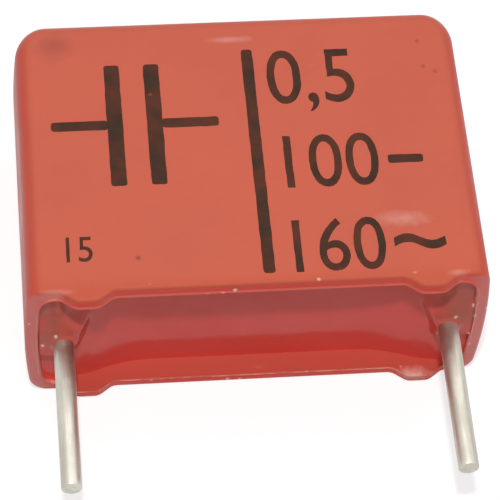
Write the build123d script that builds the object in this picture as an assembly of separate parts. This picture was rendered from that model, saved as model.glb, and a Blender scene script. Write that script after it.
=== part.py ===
from build123d import *
import math
import os

# Box film capacitor, lying on its back, in millimetres.
# X runs along the box and the lead pitch, the leads leave along -Y, and +Z points out of the front face.
# The origin is midway between the leads, on the plane that the feet seat on.

# Moulded case: a cup that is open towards the leads
case_length = 18.0          # over the bowed ends
case_thickness = 7.0
case_height = 13.6          # from the feet to the closed top
end_bow = 0.2               # how far each end wall bulges
wall = 0.55                 # at the mouth
top_wall = 0.7
core_draft = 0.5            # degrees, so the walls thicken towards the closed top
top_corner_radius = 1.4     # the two top corners, seen from the front
edge_radius = 0.75          # around the front and back faces
core_radius = 0.7           # upright edges of the hollow
rim_chamfer = 0.12          # broken edges of the mouth

# Stand-off feet on the rims of the two long walls
foot_height = 0.45
foot_flat = 0.87
foot_flank = 0.59           # run of each sloping flank
foot_blend = 0.5            # radius where flanks meet flat and rim
foot_inset = 0.9            # from a lead's axis to the middle of its feet

# Wire leads, flattened inside where they are welded on
lead_inset = 1.5            # from the end of the case to a lead's axis, for a pitch of 15
lead_diameter = 0.8
lead_length = 6.0           # below the seating plane
lead_tip_chamfer = 0.05
tail_recess = 0.15          # from the round wire's inner end to the rim
tail_blend = 2.4            # length over which the round wire turns flat
tail_thickness = 0.5
tail_length = 6.0
weld_depth = 0.1            # how far a tail sinks into its contact

# Wound film with sprayed metal on both ends
contact_thickness = 0.5
winding_side_gap = 0.45     # resin between the roll and each long wall, at the mouth
winding_top_gap = 0.5       # resin between the roll and the closed top
winding_cover = 0.9         # resin over the roll, towards the mouth

# Potting resin: a sunk, glossy surface that rises to both ends and climbs the walls and the leads
resin_depth = 0.93          # below the rim, in the middle
resin_end_depth = 0.25      # below the rim, at both ends
slope_start = 4.0           # from the middle of the box to where the surface begins to rise
slope_inset = 1.0           # from the end of the case to where it is level again
meniscus_size = 0.1         # of the slope where it meets the walls
meniscus_climb = 0.12       # how far it climbs them
meniscus_edge = 0.04        # thickness of the resin's edge on the wall
collar_spread = 0.5         # how far the resin reaches out from each lead
collar_climb = 0.22         # how far it climbs each lead

lead_x = case_length / 2 - lead_inset
foot_x = lead_x - foot_inset
resin_floor = foot_height + resin_depth
slope_end = case_length / 2 - slope_inset
contact_face = lead_x - tail_thickness / 2 + weld_depth
winding_half = contact_face - contact_thickness
winding_low = resin_floor + winding_cover
winding_high = case_height - top_wall - winding_top_gap
winding_thickness = case_thickness - 2 * wall - 2 * winding_side_gap


def across(height):
    """Plane square to Y at a height; extruding from it runs towards the closed top."""
    return Plane(origin=(0, height, 0), x_dir=(1, 0, 0), z_dir=(0, 1, 0))


def bowed_outline(length, thickness, corner=0):
    """A long rectangle whose two short sides bulge, with rounded corners if asked."""
    flat = length / 2 - end_bow
    half = thickness / 2
    sides = Line((-flat, half), (flat, half)) + Line((flat, -half), (-flat, -half))
    ends = ThreePointArc((flat, half), (length / 2, 0), (flat, -half))
    ends += ThreePointArc((-flat, -half), (-length / 2, 0), (-flat, half))
    outline = make_face(sides + ends)
    if corner:
        outline = fillet(outline.vertices(), corner)
    return outline


def hollow(depth, inset=0):
    """The moulding's core, with draft, from the seating plane up; an inset makes it smaller all round."""
    sections = []
    for height in (0, depth):
        shrink = 2 * (wall + inset + height * math.tan(math.radians(core_draft)))
        outline = bowed_outline(case_length - shrink, case_thickness - shrink, core_radius - inset)
        sections.append(across(height) * outline)
    return loft(sections, ruled=True)


def below_line(line, reach):
    """Slab through the whole thickness, under a line that runs from -reach to reach in X, level at its ends."""
    height = line.vertices().sort_by(Axis.X)[0].Y
    corners = [(reach, height), (reach, -case_height), (-reach, -case_height), (-reach, height)]
    return extrude(make_face(line + Polyline(*corners)), case_thickness, both=True)


def edges_around(faces):
    """The edges around a patch of faces, without the seams inside it."""
    edges = [edge for face in faces for edge in face.edges()]
    return [edge for edge in edges if sum(edge.is_same(other) for other in edges) == 1]


def rim_line(reach):
    """The rim seen from the front: level, with a blended foot inboard of each lead."""
    half = foot_flat / 2
    points = [(-reach, foot_height)]
    for middle in (-foot_x, foot_x):
        points.append((middle - half - foot_flank, foot_height))
        points.append((middle - half, 0))
        points.append((middle + half, 0))
        points.append((middle + half + foot_flank, foot_height))
    points.append((reach, foot_height))
    return FilletPolyline(*points, radius=foot_blend)


def make_case():
    """Cup with rounded edges, drafted hollow, and feet left standing on its rim."""
    body = extrude(across(0) * bowed_outline(case_length, case_thickness), case_height)
    top_ends = body.edges().group_by(Axis.Y)[-1].filter_by(GeomType.CIRCLE)
    body = fillet(top_ends, top_corner_radius)
    faces = body.faces().sort_by(Axis.Z)
    around = [edge for face in (faces[0], faces[-1]) for edge in face.edges() if edge.center().Y > 0]
    body = fillet(around, edge_radius)
    cup = body - hollow(case_height - top_wall) - below_line(rim_line(case_length), case_length)
    rim = [face for face in cup.faces() if face.bounding_box().max.Y < foot_height + rim_chamfer / 2]
    return chamfer(edges_around(rim), rim_chamfer)


def make_lead():
    """The lead on the +X side: round where it shows, flat where it is welded."""
    wire = Circle(lead_diameter / 2)
    tail = Rectangle(tail_thickness, wire.area / tail_thickness)
    axis = Location((lead_x, 0, 0))
    tail_start = foot_height - tail_recess
    flat_start = tail_start + tail_blend
    lead = extrude(axis * across(-lead_length) * wire, lead_length + tail_start)
    lead = chamfer(lead.edges().sort_by(Axis.Y)[0], lead_tip_chamfer)
    lead += loft([axis * across(tail_start) * wire, axis * across(flat_start) * tail])
    lead += extrude(axis * across(flat_start) * tail, tail_length)
    return lead


def roll(start, length):
    """Flattened roll along X, from a starting place."""
    section = SlotOverall(winding_high - winding_low, winding_thickness)
    middle = (winding_low + winding_high) / 2
    return extrude(Plane(origin=(start, middle, 0), x_dir=(0, 1, 0), z_dir=(1, 0, 0)) * section, length)


def resin_height(x):
    """Where the resin's sunk surface lies at a place along the box: a double curve between its two levels."""
    run = (slope_end - slope_start) / 2
    rise = (resin_depth - resin_end_depth) / 2
    radius = (run ** 2 + rise ** 2) / (2 * rise)
    along = min(max(abs(x), slope_start), slope_end) - slope_start
    if along < run:
        return resin_floor - radius + math.sqrt(radius ** 2 - along ** 2)
    return foot_height + resin_end_depth + radius - math.sqrt(radius ** 2 - (2 * run - along) ** 2)


def sunk_line(reach, lift=0):
    """The resin's surface seen from the front: level in the middle and at both ends."""
    bends = [slope_start, (slope_start + slope_end) / 2, slope_end]
    places = bends + [(near + far) / 2 for near, far in zip(bends, bends[1:])] + [reach]
    spots = {side * x: (side * x, resin_height(x) - lift) for x in places for side in (-1, 1)}
    line = Line(spots[-slope_start], spots[slope_start])
    for side in (-1, 1):
        for near, far in zip(bends, bends[1:]):
            line += ThreePointArc(*(spots[side * x] for x in (near, (near + far) / 2, far)))
        line += Line(spots[side * slope_end], spots[side * reach])
    return line


def resin_basin(reach):
    """What the resin leaves open at the mouth: a shallow trough with a sloping edge all round."""
    basin = hollow(resin_floor, meniscus_edge) & below_line(sunk_line(reach), reach)
    floor = [face for face in basin.faces() if face.normal_at().Y > 0.9]
    return chamfer(edges_around(floor), meniscus_size)


def resin_collar():
    """Resin drawn up around the lead on the +X side, whole until the lead is taken out of it."""
    inner = lead_diameter / 2
    outer = inner + collar_spread
    top = resin_height(lead_x) - collar_climb
    foot = resin_height(lead_x - outer)
    flank = Polyline((0, top), (inner, top), (outer, foot), (outer, winding_low), (0, winding_low), close=True)
    return Location((lead_x, 0, 0)) * revolve(make_face(flank), Axis.Y)


def make_resin(enclosed):
    """Fills the case up to its sunk surface, around everything that it encloses."""
    reach = case_length / 2
    resin = hollow(case_height - top_wall) - resin_basin(reach)
    resin -= below_line(sunk_line(reach, meniscus_climb), reach)
    collar = resin_collar()
    resin += [collar, mirror(collar, Plane.YZ)]
    return resin - enclosed


lead = make_lead()
contact = roll(winding_half, contact_thickness) - lead
parts = {
    "lead_right": lead,
    "lead_left": mirror(lead, Plane.YZ),
    "end_contact_right": contact,
    "end_contact_left": mirror(contact, Plane.YZ),
    "film_winding": roll(-winding_half, 2 * winding_half),
}
parts["resin"] = make_resin(list(parts.values()))
parts["case"] = make_case()

os.makedirs("parts", exist_ok=True)
for name, solid in parts.items():
    export_step(solid, f"parts/{name}.step")
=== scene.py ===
import math

import bmesh
import bpy
from mathutils import Matrix, Vector, noise


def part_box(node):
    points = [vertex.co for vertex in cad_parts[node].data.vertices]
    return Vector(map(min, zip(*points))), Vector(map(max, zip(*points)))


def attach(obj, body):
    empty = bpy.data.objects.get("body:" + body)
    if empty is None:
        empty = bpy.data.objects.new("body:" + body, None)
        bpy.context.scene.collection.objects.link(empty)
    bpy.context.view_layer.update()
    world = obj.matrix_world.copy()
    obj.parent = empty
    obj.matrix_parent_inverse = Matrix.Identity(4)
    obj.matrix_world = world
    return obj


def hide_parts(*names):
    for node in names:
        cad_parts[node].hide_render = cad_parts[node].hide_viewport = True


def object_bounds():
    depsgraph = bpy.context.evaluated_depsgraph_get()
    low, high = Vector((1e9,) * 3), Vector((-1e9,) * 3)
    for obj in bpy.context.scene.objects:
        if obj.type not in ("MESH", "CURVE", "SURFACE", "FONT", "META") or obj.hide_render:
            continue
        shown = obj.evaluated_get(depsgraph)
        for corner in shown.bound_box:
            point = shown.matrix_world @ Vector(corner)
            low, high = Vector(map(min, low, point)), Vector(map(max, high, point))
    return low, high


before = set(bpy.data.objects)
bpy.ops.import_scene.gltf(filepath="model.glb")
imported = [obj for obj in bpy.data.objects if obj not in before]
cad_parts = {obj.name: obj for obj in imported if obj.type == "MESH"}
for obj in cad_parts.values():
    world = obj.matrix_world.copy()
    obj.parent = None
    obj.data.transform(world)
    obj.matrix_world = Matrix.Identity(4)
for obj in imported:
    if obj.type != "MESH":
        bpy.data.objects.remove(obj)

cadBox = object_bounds()
mm = 0.001  # pieces are modelled in millimetres and scaled once, when they are done
tiny = 1e-4
axisX, axisY, axisZ = Vector((1, 0, 0)), Vector((0, 1, 0)), Vector((0, 0, 1))
print("frame loaded:", ", ".join(sorted(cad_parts)))


def nodeBox(node):  # a node's corners in millimetres
    low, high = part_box(node)
    return low / mm, high / mm


caseLow, caseHigh = nodeBox("case")


# mesh helpers

def evenly(start, end, count):
    return [start + (end - start) * i / (count - 1) for i in range(count)]


def smoothShare(value, start, end):  # 0 before the start, 1 past the end, a soft rise between
    share = min(max((value - start) / (end - start), 0), 1)
    return share * share * (3 - 2 * share)


def noiseAt(x, y, scales):  # scales in both directions, and a start of its own
    scaleX, scaleY, start = scales
    return noise.noise(Vector((x * scaleX, y * scaleY, start)))


def cutAcross(bm, places, axis):  # straight cuts through everything, square to one axis
    for place in places:
        everything = bm.verts[:] + bm.edges[:] + bm.faces[:]
        bmesh.ops.bisect_plane(bm, geom=everything, plane_co=axis * place, plane_no=axis, dist=tiny)


def roundEdges(bm, edges, radius, segments):
    bmesh.ops.bevel(bm, geom=edges, offset=radius, offset_type="OFFSET", segments=segments, profile=0.5,
                    affect="EDGES", material=-1, clamp_overlap=False, loop_slide=True)


def growLoop(bm, edges):  # a new loop of edges and its vertices, still on top of the old one
    grown = bmesh.ops.extrude_edge_only(bm, edges=edges)["geom"]
    loop = [g for g in grown if isinstance(g, bmesh.types.BMEdge)]
    return loop, [g for g in grown if isinstance(g, bmesh.types.BMVert)]


def makePiece(bm, name, material, standsFor=()):
    bmesh.ops.scale(bm, vec=(mm, mm, mm), verts=bm.verts)
    mesh = bpy.data.meshes.new(name)
    bm.to_mesh(mesh)
    bm.free()
    mesh.shade_smooth()
    mesh.materials.append(material)
    piece = bpy.data.objects.new(name, mesh)
    bpy.context.scene.collection.objects.link(piece)
    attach(piece, "root")
    if standsFor:
        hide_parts(*standsFor)
    print(f"{name}: {len(mesh.polygons)} faces")
    return piece


# shader helpers

def addNode(tree, kind, settings=None, inputs=None):
    node = tree.nodes.new(kind)
    row, column = divmod(len(tree.nodes), 8)
    node.location = (220 * column, -320 * row)  # in rows of eight, in the order they are made
    for key, value in (settings or {}).items():
        setattr(node, key, value)
    for key, value in (inputs or {}).items():
        node.inputs[key].default_value = value
    return node


def feed(tree, socket, value):  # a link or a plain value
    if isinstance(value, bpy.types.NodeSocket):
        tree.links.new(value, socket)
    else:
        socket.default_value = value


def calc(tree, operation, first, second=0.0):
    node = addNode(tree, "ShaderNodeMath", {"operation": operation})
    feed(tree, node.inputs[0], first)
    feed(tree, node.inputs[1], second)
    return node.outputs[0]


def rescale(tree, value, fromRange, toRange=(0.0, 1.0), smooth=False):
    node = addNode(tree, "ShaderNodeMapRange", {"interpolation_type": "SMOOTHSTEP" if smooth else "LINEAR"})
    feed(tree, node.inputs["Value"], value)
    for label, bound in zip(("From Min", "From Max", "To Min", "To Max"), (*fromRange, *toRange)):
        feed(tree, node.inputs[label], bound)
    return node.outputs["Result"]


def fadeOut(tree, value, start, end):  # 1 up to the start, 0 from the end on
    return rescale(tree, value, (start, end), (1.0, 0.0))


def mixColours(tree, share, first, second):
    node = addNode(tree, "ShaderNodeMix", {"data_type": "RGBA"})  # its colours are 6 and 7, and 2 comes out
    feed(tree, node.inputs[0], share)
    feed(tree, node.inputs[6], first)
    feed(tree, node.inputs[7], second)
    return node.outputs[2]


def bumpFrom(tree, shader, height, strength, distance):
    bump = addNode(tree, "ShaderNodeBump", None, {"Strength": strength, "Distance": distance})
    tree.links.new(height, bump.inputs["Height"])
    tree.links.new(bump.outputs["Normal"], shader.inputs["Normal"])


def addGrain(tree, shader, place, scale, detail, strength, distance):
    cloud = addNode(tree, "ShaderNodeTexNoise", None, {"Scale": scale, "Detail": detail})
    tree.links.new(place, cloud.inputs["Vector"])
    bumpFrom(tree, shader, cloud.outputs["Fac"], strength, distance)


def newMaterial(name, plain):  # plain holds what is the same all over the surface
    material = bpy.data.materials.new(name)
    material.use_nodes = True
    tree = material.node_tree
    shader = tree.nodes["Principled BSDF"]
    shader.location = (2000, 0)
    tree.nodes["Material Output"].location = (2300, 0)
    for key, value in plain.items():
        shader.inputs[key].default_value = value
    place = addNode(tree, "ShaderNodeTexCoord")
    return material, tree, shader, place.outputs["Object"]


def newGroup(name, inputs, outputs):  # inputs have their first values, as numbers or vectors
    group = bpy.data.node_groups.new(name, "ShaderNodeTree")
    for label, value in inputs.items():
        kind = "NodeSocketVector" if isinstance(value, tuple) else "NodeSocketFloat"
        socket = group.interface.new_socket(label, in_out="INPUT", socket_type=kind)
        socket.default_value = value
    for label in outputs:
        group.interface.new_socket(label, in_out="OUTPUT", socket_type="NodeSocketFloat")
    start = addNode(group, "NodeGroupInput")
    end = addNode(group, "NodeGroupOutput")
    return group, start.outputs, end.inputs


def useGroup(tree, group, place, inputs):
    node = addNode(tree, "ShaderNodeGroup", {"node_tree": group}, inputs)
    tree.links.new(place, node.inputs["Place"])
    return node.outputs


# effects that several finishes share

def makeMottle():  # slow drift between two shades
    group, start, end = newGroup("mottle", {"Place": (0, 0, 0), "Scale": 200.0, "Spread": 0.2}, ["Shade"])
    cloud = addNode(group, "ShaderNodeTexNoise", None, {"Detail": 4.0, "Roughness": 0.55})
    group.links.new(start["Place"], cloud.inputs["Vector"])
    group.links.new(start["Scale"], cloud.inputs["Scale"])
    low = calc(group, "SUBTRACT", 0.5, start["Spread"])
    high = calc(group, "ADD", 0.5, start["Spread"])
    shade = rescale(group, cloud.outputs["Fac"], (low, high), smooth=True)
    group.links.new(shade, end["Shade"])
    return group


def makeSpecks():  # a few small dots, each in a cell of its own
    inputs = {"Place": (0, 0, 0), "Scale": 900.0, "Size": 0.12, "Share": 0.2}
    group, start, end = newGroup("specks", inputs, ["Mask"])
    cells = addNode(group, "ShaderNodeTexVoronoi", {"feature": "F1"})
    group.links.new(start["Place"], cells.inputs["Vector"])
    group.links.new(start["Scale"], cells.inputs["Scale"])
    inside = rescale(group, cells.outputs["Distance"], (0.0, start["Size"]), (1.0, 0.0), smooth=True)
    split = addNode(group, "ShaderNodeSeparateColor")
    group.links.new(cells.outputs["Color"], split.inputs["Color"])
    kept = calc(group, "LESS_THAN", split.outputs[0], start["Share"])
    group.links.new(calc(group, "MULTIPLY", inside, kept), end["Mask"])
    return group


def makeStreaks():  # noise drawn out along one axis
    inputs = {"Place": (0, 0, 0), "Stretch": (1, 1, 1), "Scale": 1000.0, "Edge": 0.6}
    group, start, end = newGroup("streaks", inputs, ["Mask", "Height"])
    longer = addNode(group, "ShaderNodeVectorMath", {"operation": "MULTIPLY"})
    group.links.new(start["Place"], longer.inputs[0])
    group.links.new(start["Stretch"], longer.inputs[1])
    lines = addNode(group, "ShaderNodeTexNoise", None, {"Detail": 3.0, "Roughness": 0.6})
    group.links.new(longer.outputs["Vector"], lines.inputs["Vector"])
    group.links.new(start["Scale"], lines.inputs["Scale"])
    softness = 0.12
    over = calc(group, "ADD", start["Edge"], softness)
    mask = rescale(group, lines.outputs["Fac"], (start["Edge"], over), smooth=True)
    group.links.new(mask, end["Mask"])
    group.links.new(lines.outputs["Fac"], end["Height"])
    return group


def makePatch():  # a ragged patch around one spot: rubs and smudges, and painted glints and highlights
    inputs = {"Place": (0, 0, 0), "Middle": (0, 0, 0), "Reach": (1, 1, 1), "Ragged": 900.0}
    group, start, end = newGroup("patch", inputs, ["Mask"])
    away = addNode(group, "ShaderNodeVectorMath", {"operation": "SUBTRACT"})
    group.links.new(start["Place"], away.inputs[0])
    group.links.new(start["Middle"], away.inputs[1])
    share = addNode(group, "ShaderNodeVectorMath", {"operation": "DIVIDE"})
    group.links.new(away.outputs["Vector"], share.inputs[0])
    group.links.new(start["Reach"], share.inputs[1])
    far = addNode(group, "ShaderNodeVectorMath", {"operation": "LENGTH"})
    group.links.new(share.outputs["Vector"], far.inputs[0])
    cloud = addNode(group, "ShaderNodeTexNoise", None, {"Detail": 5.0, "Roughness": 0.65})
    group.links.new(start["Place"], cloud.inputs["Vector"])
    group.links.new(start["Ragged"], cloud.inputs["Scale"])
    frayed = calc(group, "ADD", far.outputs["Value"], cloud.outputs["Fac"])
    whole, gone = 0.6, 1.4
    group.links.new(fadeOut(group, frayed, whole, gone), end["Mask"])
    return group


mottle, specks, streaks, patch = makeMottle(), makeSpecks(), makeStreaks(), makePatch()


def addPatches(tree, place, colour, settings):  # ragged spots, each with its middle and its reach
    for kind in settings["patches"].values():
        for middle, reach in kind["spots"].items():
            spot = useGroup(tree, patch, place, {"Middle": Vector(middle) * mm, "Reach": Vector(reach) * mm,
                                                 "Ragged": kind["ragged"]})
            share = calc(tree, "MULTIPLY", spot["Mask"], kind["share"])
            colour = mixColours(tree, share, colour, settings[kind["colour"]])
    return colour


# case: a moulded cup with four feet, open towards the leads

caseSettings = {
    "endBow": 0.2,
    "bowFrom": 7.8,  # the bow grows from here to the ends
    "wall": 0.55,
    "topWall": 0.7,
    "draft": math.radians(0.5),
    "topCorner": 1.4,
    "edgeRound": 0.75,
    "coreCorner": 0.7,
    "cornerClear": 0.02,  # how near the long walls' cuts come to the corners
    "rimRound": 0.14,
    "rimDip": 0.06,  # the rim lies lower than the bead of flash along its inner edge
    "beadFoot": 0.13,
    "beadTop": 0.05,
    "beadDrop": 0.05,
    "mouthDepth": 2.0,
    "footHeight": 0.45,
    "footMiddle": 6.6,
    "footFlat": 0.87,
    "footFlank": 0.59,
    "footBlend": 0.5,
    "sink": 0.015,  # the big faces draw in a little as the moulding cools
    "sinkMargin": (1.0, 0.8),
    "faceIn": 0.006,  # and leave room for the ink
    "cuts": {"across": (-5, 5, 11), "up": (2, 12, 11), "through": (-2.2, 2.2, 9)},  # from, to, how many
    "segments": {"topCorner": 12, "edgeRound": 7, "rimRound": 4},
    "zones": {  # each shade comes or goes between two places
        "face": (3.30, 3.45),
        "ends": (7.6, 8.6),
        "back": (-3.0, -2.6),
        "rim": (0.54, 0.64),
        "underFace": (3.28, 3.37),
        "bead": (0.79, 0.85),  # this and the next are measured as coreCorner is
        "core": (0.71, 0.75),
        "mouth": (2.0, 3.0),
        "paintedRimGlints": (0.58, 0.75),
        "lowEdge": (0.6, 1.0),
    },
    "red": (0.575, 0.096, 0.048, 1),
    "paleRed": (0.605, 0.110, 0.058, 1),
    # painted sheen: a deeper red for all but the big faces, which stay paler
    "edgeRedLessSheen": (0.65, 0.074, 0.042, 1),
    # painted light on the rims: a more saturated red, brighter on the back rim to make up for its shade,
    # and paler on the end rims as a painted reflection
    "rimRedPaintedLight": (0.74, 0.060, 0.036, 1),
    "backRimRedPaintedLight": (0.92, 0.052, 0.028, 1),
    "endRimRedPaintedReflection": (0.68, 0.105, 0.085, 1),
    # painted highlight: the bead is paler than the rim, and paler still in broken stretches along the back
    "beadRedPaintedHighlight": (0.64, 0.120, 0.080, 1),
    "backBeadPaintedHighlight": (0.95, 0.38, 0.30, 1),
    # painted shade inside the mouth
    "mouthRedPaintedShade": (0.54, 0.078, 0.052, 1),
    # pale rubs, also used for two painted highlights
    "rubAndHighlightPale": (0.80, 0.42, 0.36, 1),
    "smudged": (0.30, 0.045, 0.028, 1),
    "spatter": (0.20, 0.030, 0.018, 1),
    # pale colour of the painted glints near the mouth
    "rimGlintPale": (0.95, 0.72, 0.60, 1),
    "speck": (0.16, 0.03, 0.02, 1),
    "patches": {
        "foot": {"colour": "rubAndHighlightPale", "ragged": 3200.0, "share": 1.0,
                 "spots": {(6.35, 0.05, -3.0): (1.0, 0.5, 0.5)}},
        # two spots, low on the front face beside the ends of the rim, paint highlights of raised edges; the
        # other two are pale scuffs
        "scuffsAndHighlights": {"colour": "rubAndHighlightPale", "ragged": 2200.0, "share": 0.35,
                   "spots": {(-0.3, 12.3, 3.5): (1.3, 0.22, 1.0), (5.7, 3.2, 3.5): (1.4, 0.5, 1.0),
                             (-7.8, 0.5, 3.4): (1.0, 0.2, 1.0), (7.5, 0.6, 3.4): (0.6, 0.2, 1.0)}},
        "smudge": {"colour": "smudged", "ragged": 1200.0, "share": 0.5,
                   "spots": {(-7.25, 12.25, 3.5): (1.1, 1.0, 1.0)}},
        "drops": {"colour": "spatter", "ragged": 4000.0, "share": 0.6,
                  "spots": dict.fromkeys([(7.32, 11.86, 3.5), (7.41, 10.57, 3.5), (7.86, 10.30, 3.5)],
                                         (0.13, 0.15, 1.0))},
    },
    "drift": {"Scale": 260.0, "Spread": 0.22},
    "brokenBead": {"Scale": 1500.0, "Spread": 0.12},
    "dots": {"Scale": 420.0, "Size": 0.07, "Share": 0.12},
    "paintedRimGlints": {"Scale": 1900.0, "Size": 0.24, "Share": 0.3},
    "rubs": {"Stretch": (0.5, 1.6, 1.0), "Scale": 500.0, "Edge": 0.70},
    "rubShare": 0.35,
    "endGloss": 0.55,
    "roughness": (0.34, 0.48),
    "lowEdgeRougher": 0.3,
    "grain": {"scale": 6000.0, "detail": 3.0, "strength": 0.15, "distance": 0.00002},
}
rimLevel = caseLow.y + caseSettings["footHeight"]


def footCorners():  # slope of a foot's flank, and where its two rounded corners start
    s = caseSettings
    slope = math.atan2(s["footHeight"], s["footFlank"])
    tangent = s["footBlend"] * math.tan(slope / 2)
    half = s["footFlat"] / 2
    return slope, half - tangent, half + s["footFlank"] + tangent


def footReach(x):  # how far the rim stands down at a place along the box
    s = caseSettings
    height, blend = s["footHeight"], s["footBlend"]
    slope, inner, outer = footCorners()
    turn = blend * math.sin(slope)
    away = abs(abs(x) - s["footMiddle"])
    if away <= inner:
        return height
    if away >= outer:
        return 0
    if away < inner + turn:
        return height - blend + math.sqrt(blend ** 2 - (away - inner) ** 2)
    if away > outer - turn:
        return blend - math.sqrt(blend ** 2 - (outer - away) ** 2)
    return height - (away - s["footFlat"] / 2) * height / s["footFlank"]


def footCuts(steps=3):  # cuts that follow the rounded corners of the feet
    s = caseSettings
    slope, inner, outer = footCorners()
    turns = [s["footBlend"] * math.sin(slope * i / steps) for i in range(steps + 1)]
    away = [inner + t for t in turns] + [outer - t for t in turns]
    return sorted(side * (s["footMiddle"] + way * a) for a in away for side in (-1, 1) for way in (-1, 1))


def bowEnds(x, z, half):  # the end walls bulge in the middle of the thickness
    start = caseSettings["bowFrom"]
    share = min(max((abs(x) - start) / (caseHigh.x - start), 0), 1)
    return x - math.copysign(caseSettings["endBow"] * (z / half) ** 2 * share, x)


def faceSink(x, y):  # how far a big face lies in from the box at a spot
    s = caseSettings
    marginX, marginY = s["sinkMargin"]
    middle, half = (caseLow.y + caseHigh.y) / 2, (caseHigh.y - caseLow.y) / 2
    across = 1 - (x / (caseHigh.x - marginX)) ** 2
    along = 1 - ((y - middle) / (half - marginY)) ** 2
    return s["faceIn"] + s["sink"] * max(across, 0) * max(along, 0)


def coreSpot(x, z):  # where the hollow's wall stands inside a spot on the outer wall
    s = caseSettings
    halfX, halfZ, corner = caseHigh.x - s["wall"], caseHigh.z - s["wall"], s["coreCorner"]
    overX, overZ = abs(x) - caseHigh.x + s["edgeRound"], abs(z) - caseHigh.z + s["edgeRound"]
    if overX > -tiny and overZ > -tiny:
        turn = math.atan2(overZ, overX)
        newX = halfX - corner + corner * math.cos(turn)
        newZ = halfZ - corner + corner * math.sin(turn)
    elif overZ > 0:
        newX, newZ = min(abs(x), halfX - corner - s["cornerClear"]), halfZ
    else:
        newX, newZ = halfX, abs(z)
    return math.copysign(newX, x), math.copysign(newZ, z)


def startCase(bm):  # a box with rounded edges, open at the mouth and cut up for what follows
    s = caseSettings
    corner = Vector((caseLow.x, rimLevel, caseLow.z))
    place = Matrix.Translation((corner + caseHigh) / 2) @ Matrix.Diagonal((*(caseHigh - corner), 1))
    bmesh.ops.create_cube(bm, size=1, matrix=place)
    topEnds = [e for e in bm.edges if min(v.co.y for v in e.verts) > caseHigh.y - tiny
               and abs(e.verts[0].co.z - e.verts[1].co.z) > tiny]
    roundEdges(bm, topEnds, s["topCorner"], s["segments"]["topCorner"])
    around = [e for e in bm.edges if abs(e.verts[0].co.z) > caseHigh.z - tiny
              and abs(e.verts[0].co.z - e.verts[1].co.z) < tiny
              and max(v.co.y for v in e.verts) > rimLevel + tiny]
    roundEdges(bm, around, s["edgeRound"], s["segments"]["edgeRound"])
    mouth = [f for f in bm.faces if f.calc_center_median().y < rimLevel + tiny]
    bmesh.ops.delete(bm, geom=mouth, context="FACES_ONLY")
    cutAcross(bm, evenly(*s["cuts"]["across"]) + footCuts(), axisX)
    cutAcross(bm, evenly(*s["cuts"]["up"]), axisY)
    cutAcross(bm, evenly(*s["cuts"]["through"]), axisZ)


def makeCase(material):
    s = caseSettings
    bm = bmesh.new()
    startCase(bm)
    rimLoop = [e for e in bm.edges if e.is_boundary]
    outerRim = {v for e in rimLoop for v in e.verts}
    ends = {v: (v.co.xz, Vector(coreSpot(v.co.x, v.co.z))) for v in outerRim}
    drop = {v: s["rimDip"] for v in outerRim}
    core = set()
    bead = [(s["beadFoot"], s["rimDip"]), (s["beadTop"], 0), (0, s["beadDrop"]), (0, 2 * s["beadDrop"])]
    for away, depth in bead:
        rimLoop, ring = growLoop(bm, rimLoop)
        for e in rimLoop:
            e.smooth = False
        before = {v: next(e.other_vert(v) for e in v.link_edges if e.other_vert(v) in ends) for v in ring}
        for v in ring:
            ends[v] = outside, inside = ends[before[v]]
            v.co.x, v.co.z = inside + (outside - inside).normalized() * away
            drop[v] = depth
        if away == 0:
            core.update(ring)
    for depth in (s["mouthDepth"], caseHigh.y - s["topWall"]):
        rimLoop, ring = growLoop(bm, rimLoop)
        core.update(ring)
        for v in ring:
            v.co.y = depth
    bmesh.ops.edgeloop_fill(bm, edges=rimLoop)

    for v in bm.verts:
        x, y, z = v.co
        if v in core:
            lean = 1 - (y - caseLow.y) * math.tan(s["draft"]) / (caseHigh.z - s["wall"])
            v.co.x = bowEnds(x, z, caseHigh.z - s["wall"]) * (1 - (1 - lean) * caseHigh.z / caseHigh.x)
            v.co.z = z * lean
        else:
            v.co.x = bowEnds(x, z, caseHigh.z)
            if abs(z) > caseHigh.z - tiny:
                v.co.z -= math.copysign(faceSink(x, y), z)
        if v in drop:
            v.co.y = rimLevel - footReach(x) + drop[v]

    rimEdges = [e for e in bm.edges if outerRim.issuperset(e.verts)]
    roundEdges(bm, rimEdges, s["rimRound"], s["segments"]["rimRound"])
    bmesh.ops.recalc_face_normals(bm, faces=bm.faces)
    case = makePiece(bm, "moulded_case", material, ["case"])
    weigh = case.modifiers.new("weighted normals", "WEIGHTED_NORMAL")
    weigh.keep_sharp = True
    weigh.weight = 90  # big faces set the shading, so the flats stay flat beside their rounds


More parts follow.
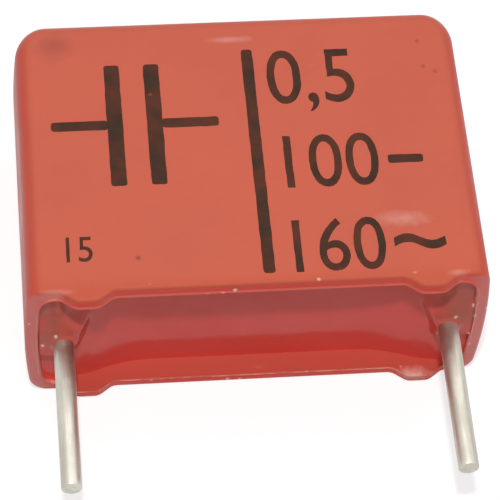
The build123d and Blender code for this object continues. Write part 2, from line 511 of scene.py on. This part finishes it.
def caseZones(tree, place):  # masks for the parts of the moulding that differ in shade
    s = caseSettings
    fade = s["zones"]
    inMm = addNode(tree, "ShaderNodeVectorMath", {"operation": "SCALE"}, {"Scale": 1 / mm})
    tree.links.new(place, inMm.inputs[0])
    split = addNode(tree, "ShaderNodeSeparateXYZ")
    tree.links.new(inMm.outputs["Vector"], split.inputs["Vector"])
    up = split.outputs["Y"]
    sideways = calc(tree, "ABSOLUTE", split.outputs["X"])
    outwards = calc(tree, "ABSOLUTE", split.outputs["Z"])
    squared = calc(tree, "MULTIPLY", outwards, outwards)
    bow = calc(tree, "MULTIPLY", squared, s["endBow"] / (caseHigh.z - s["wall"]) ** 2)
    straight = calc(tree, "ADD", sideways, bow)
    inset = s["wall"] + s["coreCorner"]
    overX = calc(tree, "SUBTRACT", straight, caseHigh.x - inset)
    overZ = calc(tree, "SUBTRACT", outwards, caseHigh.z - inset)
    corner = addNode(tree, "ShaderNodeCombineXYZ")
    tree.links.new(calc(tree, "MAXIMUM", overX, 0.0), corner.inputs["X"])
    tree.links.new(calc(tree, "MAXIMUM", overZ, 0.0), corner.inputs["Y"])
    length = addNode(tree, "ShaderNodeVectorMath", {"operation": "LENGTH"})
    tree.links.new(corner.outputs["Vector"], length.inputs[0])
    fromCore = length.outputs["Value"]  # as much as coreCorner at the hollow's wall

    zone = {
        "face": rescale(tree, outwards, fade["face"]),
        "ends": rescale(tree, sideways, fade["ends"]),
        "back": fadeOut(tree, split.outputs["Z"], *fade["back"]),
        "paintedRimGlints": fadeOut(tree, up, *fade["paintedRimGlints"]),
    }
    underFace = fadeOut(tree, outwards, *fade["underFace"])
    zone["rim"] = calc(tree, "MULTIPLY", fadeOut(tree, up, *fade["rim"]), underFace)
    zone["bead"] = calc(tree, "MULTIPLY", fadeOut(tree, fromCore, *fade["bead"]), zone["rim"])
    shallow = fadeOut(tree, up, *fade["mouth"])
    zone["mouth"] = calc(tree, "MULTIPLY", fadeOut(tree, fromCore, *fade["core"]), shallow)
    zone["lowEdge"] = calc(tree, "MULTIPLY", fadeOut(tree, up, *fade["lowEdge"]), zone["face"])
    return zone


def makeCaseRed():
    s = caseSettings
    plain = {"IOR": 1.5, "Specular IOR Level": 0.34, "Coat Roughness": 0.25}
    material, tree, shader, place = newMaterial("case red", plain)
    zone = caseZones(tree, place)
    drift = useGroup(tree, mottle, place, s["drift"])
    colour = mixColours(tree, drift["Shade"], s["red"], s["paleRed"])
    # painted sheen: the big faces keep the paler drifting red and everything else takes a deeper red, as if
    # only the faces reflected a white sheen
    colour = mixColours(tree, zone["face"], s["edgeRedLessSheen"], colour)
    # painted light: the rims take their own reds, brighter at the back where less light falls, and paler at
    # the ends for a painted reflection of the white surround
    longRimPaintedLight = mixColours(tree, zone["back"], s["rimRedPaintedLight"], s["backRimRedPaintedLight"])
    rim = mixColours(tree, zone["ends"], longRimPaintedLight, s["endRimRedPaintedReflection"])
    colour = mixColours(tree, zone["rim"], colour, rim)
    # painted highlight: the flash bead along the mouth's inner edge is paler than the rim, and paler still
    # in broken stretches along the back rim
    broken = useGroup(tree, mottle, place, s["brokenBead"])
    backBeadHighlight = calc(tree, "MULTIPLY", broken["Shade"], zone["back"])
    bead = mixColours(tree, backBeadHighlight, s["beadRedPaintedHighlight"], s["backBeadPaintedHighlight"])
    colour = mixColours(tree, zone["bead"], colour, bead)
    # painted shade: the hollow's walls just inside the mouth take a darker red
    colour = mixColours(tree, zone["mouth"], colour, s["mouthRedPaintedShade"])
    dots = useGroup(tree, specks, place, s["dots"])
    colour = mixColours(tree, dots["Mask"], colour, s["speck"])
    # painted glints: small pale specks near the mouth stand in for glints of light on the rim edges
    paintedRimGlints = useGroup(tree, specks, place, s["paintedRimGlints"])
    rimGlintShare = calc(tree, "MULTIPLY", paintedRimGlints["Mask"], zone["paintedRimGlints"])
    colour = mixColours(tree, rimGlintShare, colour, s["rimGlintPale"])
    colour = addPatches(tree, place, colour, s)
    rubs = useGroup(tree, streaks, place, s["rubs"])
    rubShare = calc(tree, "MULTIPLY", rubs["Mask"], s["rubShare"])
    colour = mixColours(tree, rubShare, colour, s["rubAndHighlightPale"])
    tree.links.new(colour, shader.inputs["Base Color"])
    shiny = calc(tree, "MULTIPLY", zone["ends"], zone["rim"])
    tree.links.new(calc(tree, "MULTIPLY", shiny, s["endGloss"]), shader.inputs["Coat Weight"])
    rough = rescale(tree, drift["Shade"], (0, 1), s["roughness"])
    rough = calc(tree, "ADD", rough, calc(tree, "MULTIPLY", zone["lowEdge"], s["lowEdgeRougher"]))
    tree.links.new(rough, shader.inputs["Roughness"])
    addGrain(tree, shader, place, **s["grain"])
    return material


# potting resin: fills the case, sunk in the middle, drawn up the walls and the leads

resinSettings = {
    "depth": 0.93,
    "endDepth": 0.25,
    "slopeFrom": 4.0,
    "slopeTo": 8.0,
    "edgeFilm": 0.015,
    "meniscus": (0.003, 0.03),  # along the long walls, and at the ends
    "meniscusGrows": (7.5, 8.3),
    "unevenEdge": 0.004,
    "edgeNoise": (0.9, 0.9, 7.3),
    "collarSpread": 0.35,
    "collarClimb": 0.16,
    "collarLedge": 0.03,
    "padDepth": 0.01,  # the resin stands higher around each lead, up to steps inwards, behind and in front
    "padSteps": {"left": (6.64, 7.12), "right": (6.74, 7.05), "back": (-0.98, -0.72), "front": (1.8, 0.6)},
    "padSlant": 0.25,
    "padWander": 0.12,
    "padNoise": (1.2, 1.2, 9.2),
    "ripple": 0.004,
    "slowRipple": (0.45, 0.6, 1.7),
    "fastRipple": (1.1, 1.3, 4.1),
    "rippleGrows": 0.5,  # over this much from the walls
    "columns": 240,
    "rows": 140,
    "packing": 1.5,
    "fineAround": 1.4,  # the grid is finer this near to a lead
    "red": (0.83, 0.088, 0.070, 1),
    "deepRed": (0.78, 0.078, 0.060, 1),
    # a darker brown laid over the resin around both leads, out to the ends
    "darkerTone": (0.46, 0.105, 0.075, 1),
    "dust": (0.62, 0.20, 0.17, 1),
    # pale colour of the painted glints
    "resinGlintPale": (0.95, 0.80, 0.68, 1),
    "patches": {
        "darkerEndPatches": {"colour": "darkerTone", "ragged": 500.0, "share": 1.0,
                      "spots": dict.fromkeys([(-7.9, 0.6, 1.3), (7.9, 0.6, 1.3)], (2.0, 2.0, 3.2))},
        # painted glints: pale spots by the leads and end walls stand in for glints of light on the resin
        "paintedResinGlints": {"colour": "resinGlintPale", "ragged": 4000.0, "share": 0.95,
                   "spots": dict.fromkeys([(-7.80, 0.5, 0.52), (-8.31, 0.5, -0.12), (7.76, 0.5, 0.56),
                                           (8.42, 0.5, -0.70), (8.42, 0.5, 1.18)], (0.10, 0.4, 0.14))},
    },
    "drift": {"Scale": 420.0, "Spread": 0.25},
    "dustDots": {"Scale": 900.0, "Size": 0.12, "Share": 0.08},
    "dustShare": 0.5,
    "roughness": (0.07, 0.2),
    "grain": {"scale": 900.0, "detail": 2.0, "strength": 0.12, "distance": 0.0001},
    "sharpFrom": math.radians(50),
}
leadLow, leadHigh = nodeBox("lead_right")
leadX, wireRadius = (leadLow.x + leadHigh.x) / 2, (leadHigh.x - leadLow.x) / 2


def towardsWalls(share):  # packs the grid's lines closer beside the walls
    return math.copysign(1 - (1 - abs(share)) ** resinSettings["packing"], share)


def roundCorner(x, z, halfX, halfZ, radius):  # draws a rectangle's corners in to arcs
    overX = (abs(x) - halfX + radius) / radius
    overZ = (abs(z) - halfZ + radius) / radius
    if overX <= 0 or overZ <= 0:
        return x, z
    newX = halfX - radius + radius * overX * math.sqrt(1 - overZ ** 2 / 2)
    newZ = halfZ - radius + radius * overZ * math.sqrt(1 - overX ** 2 / 2)
    return math.copysign(newX, x), math.copysign(newZ, z)


def wallGap(x, z, halfX, halfZ, radius):  # from a spot on the resin to the nearest wall
    gapX, gapZ = halfX - abs(x), halfZ - abs(z)
    if gapX < radius and gapZ < radius:
        return radius - math.hypot(radius - gapX, radius - gapZ)
    return min(gapX, gapZ)


def leadGap(x, z):  # from a spot on the resin to the nearer lead's axis
    return math.hypot(abs(x) - leadX, z)


def resinFloor(x):  # level in the middle, then up a double curve to both ends
    s = resinSettings
    run, rise = (s["slopeTo"] - s["slopeFrom"]) / 2, (s["depth"] - s["endDepth"]) / 2
    radius = (run ** 2 + rise ** 2) / (2 * rise)
    along = min(max(abs(x), s["slopeFrom"]), s["slopeTo"]) - s["slopeFrom"]
    if along < run:
        return rimLevel + s["depth"] - radius + math.sqrt(radius ** 2 - along ** 2)
    return rimLevel + s["endDepth"] + radius - math.sqrt(radius ** 2 - (2 * run - along) ** 2)


def edgeRise(x, gap):  # how far the resin climbs a wall that is this near
    s = resinSettings
    side, end = s["meniscus"]
    size = side + (end - side) * smoothShare(abs(x), *s["meniscusGrows"])
    inFrom = min(size + s["edgeFilm"] - gap, size)
    if inFrom <= 0:
        return 0
    return size - math.sqrt(size ** 2 - inFrom ** 2)


def padShare(x, z):
    s = resinSettings
    steps = s["padSteps"]
    wander = s["padWander"] * noiseAt(x, z, s["padNoise"])
    inner = smoothShare(abs(x) + s["padSlant"] * z + wander, *steps["left" if x < 0 else "right"])
    return inner * smoothShare(z + 2 * wander, *steps["back"]) * smoothShare(z, *steps["front"])


def collarRise(x, z):  # how far the resin is drawn up a wire
    s = resinSettings
    around = max(leadGap(x, z) - wireRadius, s["collarLedge"])
    share = max(1 - around / s["collarSpread"], 0)
    return s["collarClimb"] * (1 - math.sqrt(1 - share ** 2))


def resinSurface(x, z, gap):
    s = resinSettings
    floor = resinFloor(x)
    ripple = noiseAt(x, z, s["slowRipple"]) + noiseAt(x, z, s["fastRipple"]) / 2
    height = floor + s["ripple"] * ripple * min(gap / s["rippleGrows"], 1) - edgeRise(x, gap)
    height += padShare(x, z) * (rimLevel + s["padDepth"] - floor)
    return height - collarRise(x, z)


def makeResin(material):
    s = resinSettings
    high = nodeBox("resin")[1]
    halfX, halfZ, corner = high.x - s["edgeFilm"], high.z - s["edgeFilm"], caseSettings["coreCorner"]
    bm = bmesh.new()
    bmesh.ops.create_grid(bm, x_segments=s["columns"], y_segments=s["rows"], size=1)
    for v in bm.verts:
        x, z = towardsWalls(v.co.x) * halfX, towardsWalls(v.co.y) * halfZ
        x, z = roundCorner(x, z, halfX, halfZ, corner)
        v.co = (x, 0, z)
    byLead = [e for e in bm.edges if max(leadGap(*v.co.xz) for v in e.verts) < s["fineAround"]]
    bmesh.ops.subdivide_edges(bm, edges=byLead, cuts=2, use_grid_fill=True)
    for v in bm.verts:
        x, _, z = v.co
        gap = wallGap(x, z, halfX, halfZ, corner) + s["edgeFilm"]
        v.co = (bowEnds(x, z, halfZ), resinSurface(x, z, gap), z)

    loop, film = growLoop(bm, [e for e in bm.edges if e.is_boundary])
    for v in film:
        wander = noiseAt(v.co.x, v.co.z, s["edgeNoise"])
        v.co.y -= s["unevenEdge"] * max(wander, 0) + tiny
    loop, lip = growLoop(bm, loop)
    for v in lip:
        v.co.x *= high.x / halfX
        v.co.z *= high.z / halfZ
    loop, end = growLoop(bm, loop)
    for v in end:
        lean = (high.y - v.co.y) * math.tan(caseSettings["draft"])
        v.co.x *= 1 - lean / high.x
        v.co.z *= 1 - lean / high.z
        v.co.y = high.y
    bmesh.ops.edgeloop_fill(bm, edges=loop)
    bmesh.ops.recalc_face_normals(bm, faces=bm.faces)
    resin = makePiece(bm, "potting_resin", material, ["resin"])
    resin.data.set_sharp_from_angle(angle=s["sharpFrom"])


def makeResinRed():
    s = resinSettings
    material, tree, shader, place = newMaterial("resin red", {"IOR": 1.5, "Specular IOR Level": 0.19})
    drift = useGroup(tree, mottle, place, s["drift"])
    colour = mixColours(tree, drift["Shade"], s["red"], s["deepRed"])
    colour = addPatches(tree, place, colour, s)
    dust = useGroup(tree, specks, place, s["dustDots"])
    dustShare = calc(tree, "MULTIPLY", dust["Mask"], s["dustShare"])
    colour = mixColours(tree, dustShare, colour, s["dust"])
    tree.links.new(colour, shader.inputs["Base Color"])
    rough = rescale(tree, drift["Shade"], (0, 1), s["roughness"])
    tree.links.new(rough, shader.inputs["Roughness"])
    addGrain(tree, shader, place, **s["grain"])
    return material


# leads: tinned wire, round outside and pressed flat where it is welded on

leadSettings = {
    "segments": 56,
    "tipChamfer": 0.05,
    "tipSegments": 2,
    "firstRing": 0.3,
    "rings": (22, 9),  # along the round wire, and where it turns flat
    "blendFrom": 0.3,
    "blendTo": 2.7,
    "flatThickness": 0.5,
    "squareness": 0.3,
    "uneven": 0.002,
    "unevenAlong": 0.9,
    "tin": (0.62, 0.60, 0.525, 1),
    "dullTin": (0.40, 0.375, 0.31, 1),
    "film": (0.33, 0.17, 0.12, 1),  # a darker brown on the wires where they come out of the case
    "patches": {
        "leftRootDarker": {"colour": "film", "ragged": 1500.0, "share": 0.85,
                     "spots": {(-7.1, 0.3, 0.2): (0.9, 2.6, 1.2)}},
        "rightRootDarker": {"colour": "film", "ragged": 1500.0, "share": 0.6,
                      "spots": {(7.1, 0.3, 0.2): (0.9, 2.6, 1.2)}},
    },
    "drawn": {"Stretch": (1.0, 0.06, 1.0), "Scale": 5000.0, "Edge": 0.45},
    "drawnShare": 0.4,
    "dulled": {"Scale": 700.0, "Spread": 0.2},
    "dullShare": 0.35,
    "roughness": (0.40, 0.52),
    "bump": {"strength": 0.05, "distance": 0.00003},
    "sharpFrom": math.radians(40),
}


def ringPoint(angle, halfX, halfZ, power):  # a circle that can turn into a soft rectangle
    across, up = math.cos(angle), math.sin(angle)
    x, z = halfX * abs(across) ** power, halfZ * abs(up) ** power
    return math.copysign(x, across), math.copysign(z, up)


def makeLead(node, name, material):
    s = leadSettings
    low, high = nodeBox(node)
    middle = (low.x + high.x) / 2
    radius = (high.x - low.x) / 2
    bm = bmesh.new()
    turn = Matrix.Rotation(math.radians(90), 4, "X")
    bmesh.ops.create_circle(bm, cap_ends=True, segments=s["segments"], radius=radius, matrix=turn)
    bmesh.ops.translate(bm, vec=(0, low.y, 0), verts=bm.verts)
    tip = bm.faces[:][0]
    tipEdges = tip.edges[:]
    face = tip
    roundRings, flatRings = s["rings"]
    heights = evenly(low.y + s["firstRing"], s["blendFrom"], roundRings)
    heights += evenly(s["blendFrom"], s["blendTo"], flatRings)[1:] + [high.y]
    for height in heights:
        grown = bmesh.ops.extrude_face_region(bm, geom=[face])["geom"]
        if face is not tip:
            bmesh.ops.delete(bm, geom=[face], context="FACES_ONLY")
        face = next(g for g in grown if isinstance(g, bmesh.types.BMFace))
        share = min(max((height - s["blendFrom"]) / (s["blendTo"] - s["blendFrom"]), 0), 1)
        halfX = radius + (s["flatThickness"] / 2 - radius) * share
        halfZ = radius + (high.z - radius) * share
        power = 1 + (s["squareness"] - 1) * share
        for v in face.verts:
            angle = math.atan2(v.co.z, v.co.x)
            v.co.y = height
            if share == 0:
                wander = noiseAt(math.cos(angle), height, (1, s["unevenAlong"], middle))
                thinner = s["uneven"] * (1 + wander)
                v.co.x, v.co.z = ringPoint(angle, radius - thinner, radius - thinner, 1)
            else:
                index = round(angle / (2 * math.pi) * s["segments"])
                v.co.x, v.co.z = ringPoint(2 * math.pi * index / s["segments"], halfX, halfZ, power)
    roundEdges(bm, tipEdges, s["tipChamfer"], s["tipSegments"])
    bmesh.ops.translate(bm, vec=(middle, 0, 0), verts=bm.verts)
    bmesh.ops.recalc_face_normals(bm, faces=bm.faces)
    lead = makePiece(bm, name, material, [node])
    lead.data.set_sharp_from_angle(angle=s["sharpFrom"])


def makeTin():
    s = leadSettings
    material, tree, shader, place = newMaterial("tinned wire", {"Metallic": 1.0})
    drawn = useGroup(tree, streaks, place, s["drawn"])
    darkerTone = useGroup(tree, mottle, place, s["dulled"])
    drawnShare = calc(tree, "MULTIPLY", drawn["Mask"], s["drawnShare"])
    colour = mixColours(tree, drawnShare, s["tin"], s["dullTin"])
    dullShare = calc(tree, "MULTIPLY", darkerTone["Shade"], s["dullShare"])
    colour = mixColours(tree, dullShare, colour, s["dullTin"])
    colour = addPatches(tree, place, colour, s)
    tree.links.new(colour, shader.inputs["Base Color"])
    rough = rescale(tree, darkerTone["Shade"], (0, 1), s["roughness"])
    tree.links.new(rough, shader.inputs["Roughness"])
    bumpFrom(tree, shader, drawn["Height"], **s["bump"])
    return material


# insides: they stay as the frame has them and get their own finish

contactSettings = {
    "metal": (0.46, 0.46, 0.47, 1),
    "darkMetal": (0.30, 0.30, 0.32, 1),
    "drift": {"Scale": 900.0, "Spread": 0.25},
    "roughness": (0.55, 0.75),
    "grain": {"scale": 5000.0, "detail": 4.0, "strength": 0.5, "distance": 0.00005},
}
windingSettings = {
    "film": (0.62, 0.62, 0.62, 1),
    "edge": (0.40, 0.41, 0.43, 1),
    "turns": {"Stretch": (0.02, 1.0, 1.0), "Scale": 9000.0, "Edge": 0.45},
    "roughness": (0.25, 0.4),
    "bump": {"strength": 0.3, "distance": 0.00002},
}


def makeSprayedMetal():
    s = contactSettings
    material, tree, shader, place = newMaterial("sprayed metal", {"Metallic": 1.0})
    drift = useGroup(tree, mottle, place, s["drift"])
    colour = mixColours(tree, drift["Shade"], s["metal"], s["darkMetal"])
    tree.links.new(colour, shader.inputs["Base Color"])
    rough = rescale(tree, drift["Shade"], (0, 1), s["roughness"])
    tree.links.new(rough, shader.inputs["Roughness"])
    addGrain(tree, shader, place, **s["grain"])
    return material


def makeWoundFilm():
    s = windingSettings
    material, tree, shader, place = newMaterial("wound film", {"Metallic": 0.6})
    turns = useGroup(tree, streaks, place, s["turns"])
    colour = mixColours(tree, turns["Mask"], s["film"], s["edge"])
    tree.links.new(colour, shader.inputs["Base Color"])
    rough = rescale(tree, turns["Height"], (0.3, 0.7), s["roughness"])
    tree.links.new(rough, shader.inputs["Roughness"])
    bumpFrom(tree, shader, turns["Height"], **s["bump"])
    return material


# print: a plain circuit symbol, a divider, plain numbers, a dash and a wave in stamped ink

printSettings = {
    "thickness": 0.012,
    "proud": 0.004,
    "stroke": 0.46,
    "thinStroke": 0.4,
    "barRound": 0.12,
    "dashRound": 0.1,
    "divider": {"middle": 0.37, "reach": (0.95, 11.75)},
    "symbol": {"left": -7.6, "right": -1.0, "middle": 8.25, "plates": (5.3, 11.2), "gap": 0.95,
               "plateStroke": 0.62, "overlap": 0.02},
    "dash": {"left": 5.48, "right": 6.86, "middle": 6.06},
    "wave": {"left": 5.27, "right": 7.27, "middle": 2.12, "swing": 0.18},
    "numbers": [("0,5", 1.0, 9.0, 2.75), ("100", 0.85, 4.9, 2.6), ("160", 0.85, 0.95, 2.5),
                ("15", -7.55, 1.85, 1.2)],  # left, bottom and height
    "numberWidth": 0.8,
    "bolder": 0.003,
    "digitHeight": 0.72,  # in the font, for a size of 1
    "cuts": {"across": (-8, 8, 65), "up": (1, 12, 45)},
    "uneven": 0.022,
    "unevenX": (3, 3, 0.4),
    "unevenY": (3, 3, 5.8),
    "ink": (0.044, 0.022, 0.013, 1),
    "thinInk": (0.17, 0.044, 0.024, 1),
    "bare": (0.50, 0.075, 0.045, 1),
    "thinned": {"Scale": 900.0, "Spread": 0.2},
    "thinShare": 0.5,
    "gaps": {"Scale": 1650.0, "Size": 0.2, "Share": 0.10},
    "roughness": (0.42, 0.6),
    "sharpFrom": math.radians(30),
}


def addBar(bm, left, right, bottom, top, roundBy):
    made = bmesh.ops.create_grid(bm, x_segments=1, y_segments=1, size=0.5)["verts"]
    bmesh.ops.scale(bm, vec=(right - left, top - bottom, 1), verts=made)
    bmesh.ops.translate(bm, vec=((left + right) / 2, (bottom + top) / 2, 0), verts=made)
    bmesh.ops.bevel(bm, geom=made, offset=roundBy, segments=3, profile=0.5, affect="VERTICES", material=-1)


def addStroke(bm, left, right, middle, width, roundBy):  # a level bar
    addBar(bm, left, right, middle - width / 2, middle + width / 2, roundBy)


def addSymbol(bm):  # two plates and their wires
    s = printSettings
    sign = s["symbol"]
    centre = (sign["left"] + sign["right"]) / 2
    inner, outer = sign["gap"] / 2, sign["gap"] / 2 + sign["plateStroke"]
    addBar(bm, centre - outer, centre - inner, *sign["plates"], s["barRound"])
    addBar(bm, centre + inner, centre + outer, *sign["plates"], s["barRound"])
    reach = outer - sign["overlap"]
    addStroke(bm, sign["left"], centre - reach, sign["middle"], s["stroke"], s["barRound"])
    addStroke(bm, centre + reach, sign["right"], sign["middle"], s["stroke"], s["barRound"])


def addWave(bm, left, right, middle, swing):
    made = bmesh.ops.create_grid(bm, x_segments=24, y_segments=1, size=0.5)["verts"]
    for v in made:
        along = v.co.x + 0.5
        v.co.x = left + (right - left) * along
        v.co.y = middle + printSettings["thinStroke"] * v.co.y + swing * math.sin(2 * math.pi * along)


def addNumber(bm, words, left, bottom, height):
    s = printSettings
    curve = bpy.data.curves.new("number", "FONT")
    curve.body = words
    curve.offset = s["bolder"]
    curve.resolution_u = 6
    holder = bpy.data.objects.new("number", curve)
    bpy.context.scene.collection.objects.link(holder)
    flat = bpy.data.meshes.new_from_object(holder.evaluated_get(bpy.context.evaluated_depsgraph_get()))
    bpy.data.objects.remove(holder)
    digits = bmesh.new()
    digits.from_mesh(flat)
    bmesh.ops.remove_doubles(digits, verts=digits.verts, dist=tiny)
    scale = height / s["digitHeight"]
    bmesh.ops.scale(digits, vec=(scale * s["numberWidth"], scale, 1), verts=digits.verts)
    bmesh.ops.translate(digits, vec=(left, bottom, 0), verts=digits.verts)
    digits.to_mesh(flat)
    digits.free()
    bm.from_mesh(flat)
    bpy.data.meshes.remove(flat)


def makePrint(material):
    s = printSettings
    bm = bmesh.new()
    x, half = s["divider"]["middle"], s["stroke"] / 2
    addBar(bm, x - half, x + half, *s["divider"]["reach"], s["barRound"])
    addSymbol(bm)
    addStroke(bm, **s["dash"], width=s["thinStroke"], roundBy=s["dashRound"])
    addWave(bm, **s["wave"])
    for words, left, bottom, height in s["numbers"]:
        addNumber(bm, words, left, bottom, height)
    cutAcross(bm, evenly(*s["cuts"]["across"]), axisX)
    cutAcross(bm, evenly(*s["cuts"]["up"]), axisY)
    for v in bm.verts:
        x, y, _ = v.co
        v.co.x += s["uneven"] * noiseAt(x, y, s["unevenX"])
        v.co.y += s["uneven"] * noiseAt(x, y, s["unevenY"])
        v.co.z = caseHigh.z - faceSink(v.co.x, v.co.y) + s["proud"]
    grown = bmesh.ops.extrude_face_region(bm, geom=bm.faces[:])["geom"]
    under = [g for g in grown if isinstance(g, bmesh.types.BMVert)]
    bmesh.ops.translate(bm, vec=(0, 0, -s["thickness"]), verts=under)
    bmesh.ops.recalc_face_normals(bm, faces=bm.faces)
    ink = makePiece(bm, "face_print", material)
    ink.data.set_sharp_from_angle(angle=s["sharpFrom"])


def makeInk():
    s = printSettings
    material, tree, shader, place = newMaterial("stamped ink", {"IOR": 1.45, "Specular IOR Level": 0.12})
    thin = useGroup(tree, mottle, place, s["thinned"])
    thinShare = calc(tree, "MULTIPLY", thin["Shade"], s["thinShare"])
    colour = mixColours(tree, thinShare, s["ink"], s["thinInk"])
    gaps = useGroup(tree, specks, place, s["gaps"])
    colour = mixColours(tree, gaps["Mask"], colour, s["bare"])
    tree.links.new(colour, shader.inputs["Base Color"])
    rough = rescale(tree, thin["Shade"], (0, 1), s["roughness"])
    tree.links.new(rough, shader.inputs["Roughness"])
    return material


# studio: pale floor, white surround, a small key light and two wide soft ones

studio = {  # in metres and watts
    "floorHalf": 0.6,
    "floorColour": (0.44, 0.44, 0.44, 1),
    "floorLift": 0.66,
    "ambient": 0.15,
    "lamps": {  # place, width, depth, power
        "key": ((-0.012, -0.0475, 0.159), 0.010, 0.010, 0.140),
        "front": ((0.02, -0.13, 0.17), 0.25, 0.16, 0.10),
        "overhead": ((0.022, 0.145, 0.205), 0.45, 0.17, 0.22),
    },
}
cameraView = {  # in millimetres
    "place": (-9.421, -56.721, 90.255),
    "aim": (0.0736, 4.4091, 0.0),
    "roll": math.radians(4.768),
    "lens": 198.57,
}


def whiteForEyes(tree):  # 1 for rays that show the surround, 0 for rays that light the object
    path = addNode(tree, "ShaderNodeLightPath").outputs
    either = calc(tree, "MAXIMUM", path["Is Camera Ray"], path["Is Glossy Ray"])
    return calc(tree, "MAXIMUM", either, path["Is Transmission Ray"])


def makeFloor():
    s = studio
    bm = bmesh.new()
    bmesh.ops.create_grid(bm, x_segments=8, y_segments=8, size=s["floorHalf"])
    bmesh.ops.translate(bm, vec=(0, 0, caseLow.z * mm), verts=bm.verts)
    mesh = bpy.data.meshes.new("floor")
    bm.to_mesh(mesh)
    bm.free()
    plain = {"Base Color": s["floorColour"], "Roughness": 0.9, "Specular IOR Level": 0.1,
             "Emission Color": (1, 1, 1, 1)}
    material, tree, shader, _ = newMaterial("pale floor", plain)
    lift = calc(tree, "MULTIPLY", whiteForEyes(tree), s["floorLift"])
    tree.links.new(lift, shader.inputs["Emission Strength"])
    mesh.materials.append(material)
    floor = bpy.data.objects.new("floor", mesh)
    bpy.context.scene.collection.objects.link(floor)


def makeSurround():
    world = bpy.data.worlds.new("surround")
    bpy.context.scene.world = world
    world.use_nodes = True
    tree = world.node_tree
    light = tree.nodes["Background"]
    light.inputs["Color"].default_value = (1, 1, 1, 1)
    lift = calc(tree, "MULTIPLY", whiteForEyes(tree), 1 - studio["ambient"])
    tree.links.new(calc(tree, "ADD", lift, studio["ambient"]), light.inputs["Strength"])


def addLamp(name, place, width, depth, power, aim):
    lamp = bpy.data.lights.new(name, "AREA")
    lamp.shape = "RECTANGLE"
    lamp.size, lamp.size_y = width, depth
    lamp.energy = power
    holder = bpy.data.objects.new(name, lamp)
    holder.location = place
    holder.rotation_euler = (aim - Vector(place)).to_track_quat("-Z", "Y").to_euler()
    bpy.context.scene.collection.objects.link(holder)


def makeCamera():
    s = cameraView
    data = bpy.data.cameras.new("camera")
    data.lens = s["lens"]
    data.sensor_width = 36
    data.clip_start, data.clip_end = 0.001, 10
    camera = bpy.data.objects.new("camera", data)
    place, aim = Vector(s["place"]) * mm, Vector(s["aim"]) * mm
    look = (aim - place).to_track_quat("-Z", "Y").to_matrix().to_4x4()
    camera.matrix_world = Matrix.Translation(place) @ look @ Matrix.Rotation(s["roll"], 4, "Z")
    bpy.context.scene.collection.objects.link(camera)
    bpy.context.scene.camera = camera


makeCase(makeCaseRed())
makeResin(makeResinRed())
tin = makeTin()
makeLead("lead_left", "lead_wire_left", tin)
makeLead("lead_right", "lead_wire_right", tin)
makePrint(makeInk())
sprayedMetal = makeSprayedMetal()
insides = {
    "film_winding": makeWoundFilm(),
    "end_contact_left": sprayedMetal,
    "end_contact_right": sprayedMetal,
}
for node, material in insides.items():
    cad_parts[node].material_slots[0].material = material
print("pieces made")

makeFloor()
makeSurround()
target = (cadBox[0] + cadBox[1]) / 2
for name, (place, width, depth, power) in studio["lamps"].items():
    addLamp(name, place, width, depth, power, target)
makeCamera()
bpy.context.scene.view_settings.view_transform = "Standard"
print("studio made")
